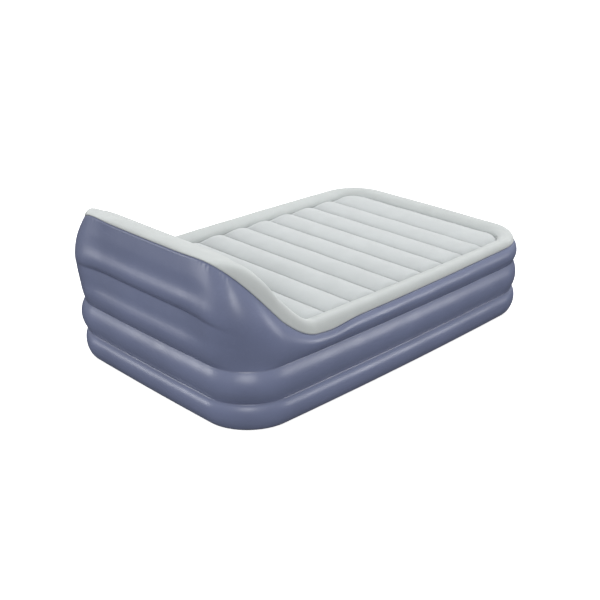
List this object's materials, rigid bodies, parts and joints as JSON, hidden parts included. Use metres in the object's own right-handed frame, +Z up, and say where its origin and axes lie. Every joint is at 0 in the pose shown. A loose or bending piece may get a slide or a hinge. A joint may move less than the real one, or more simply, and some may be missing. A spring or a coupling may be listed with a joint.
{
  "type": "air mattress",
  "caption": "Queen-size raised air mattress with an inflatable headboard, channelled flocked top, tiered side wall and a built-in electric pump with a selector knob, rocker switch and cord bay.",
  "frame": {"origin": "centre of the overall box's base, on the floor under the middle of the bed", "axes": "+Y towards the head end and headboard, +Z up, -X the right-hand side of a person lying on the bed (the long side in the picture); the pump is on the +X side"},
  "size_m": [1.4798, 2.284, 0.826],
  "materials": {
    "side_wall_vinyl": "satin",
    "base_vinyl": "satin",
    "border_flock": "matte",
    "headboard_flock": "matte",
    "top_flock": "matte",
    "web_vinyl": "satin",
    "pump_face_plastic": "satin",
    "pump_body_plastic": "matte",
    "bright_steel": "satin",
    "black_rubber": "matte",
    "pump_door_plastic": "satin",
    "bezel_plastic": "satin",
    "rocker_plastic": "gloss",
    "knob_plastic": "satin",
    "works_plastic": "satin",
    "motor_can": "satin",
    "motor_strap": "satin"
  },
  "bodies": {
    "mattress": {"head_wall": "side_wall_vinyl", "right_corner_wall": "side_wall_vinyl", "left_corner_wall": "side_wall_vinyl", "right_side_wall": "side_wall_vinyl", "left_side_wall": "side_wall_vinyl", "foot_wall": "side_wall_vinyl", "base_sheet": "base_vinyl", "headboard_rim": "border_flock", "right_wing_rim": "border_flock", "left_wing_rim": "border_flock", "right_border": "border_flock", "left_border": "border_flock", "foot_border": "border_flock", "headboard_front": "headboard_flock", "right_wing_front": "headboard_flock", "left_wing_front": "headboard_flock", "top_sheet": "top_flock", "perimeter_beam": "web_vinyl", "lower_tie_band": "web_vinyl", "upper_tie_band": "web_vinyl", "headboard_tie_band": "web_vinyl", "cross_beam_1": "web_vinyl", "cross_beam_2": "web_vinyl", "cross_beam_3": "web_vinyl", "cross_beam_4": "web_vinyl", "cross_beam_5": "web_vinyl", "cross_beam_6": "web_vinyl", "cross_beam_7": "web_vinyl", "cross_beam_8": "web_vinyl", "cross_beam_9": "web_vinyl", "cross_beam_10": "web_vinyl", "pump_flange": "pump_face_plastic", "face_plate": "pump_face_plastic", "pump_housing": "pump_body_plastic", "cord_bay_tub": "pump_body_plastic", "face_screws": "bright_steel", "door_pin": "bright_steel", "rocker_pin": "bright_steel", "flap_pin": "bright_steel", "cord_gland": "black_rubber", "rocker_bezel": "bezel_plastic", "valve_plate": "works_plastic", "fan_scroll": "works_plastic", "flap_seat": "works_plastic", "motor": "motor_can", "motor_bracket": "motor_strap"},
    "selector": {"selector_knob": "knob_plastic", "selector_shaft": "works_plastic", "valve_rotor": "works_plastic"},
    "rocker": {"power_rocker": "rocker_plastic"},
    "door": {"cord_bay_door": "pump_door_plastic"},
    "fan": {"impeller": "works_plastic", "motor_shaft": "bright_steel"},
    "flap": {"check_flap": "black_rubber"}
  },
  "joints": [
    {"name": "selector_turn", "type": "hinge", "parent": "mattress", "child": "selector", "pos_m": [0.722, 0.448, 0.228], "axis": [1, 0, 0], "range_deg": [-60, 60]},
    {"name": "rocker_press", "type": "hinge", "parent": "mattress", "child": "rocker", "pos_m": [0.7195, 0.352, 0.187], "axis": [0, 1, 0], "range_deg": [-8, 8]},
    {"name": "door_swing", "type": "hinge", "parent": "mattress", "child": "door", "pos_m": [0.7244, 0.352, 0.205], "axis": [0, 1, 0], "range_deg": [0, 110]},
    {"name": "fan_spin", "type": "hinge", "parent": "mattress", "child": "fan", "pos_m": [0.662, 0.448, 0.228], "axis": [1, 0, 0], "continuous": true},
    {"name": "flap_swing", "type": "hinge", "parent": "mattress", "child": "flap", "pos_m": [0.6082, 0.345, 0.244], "axis": [0, 1, 0], "range_deg": [0, 40], "stiffness_Nm_per_rad": 0.02}
  ]
}
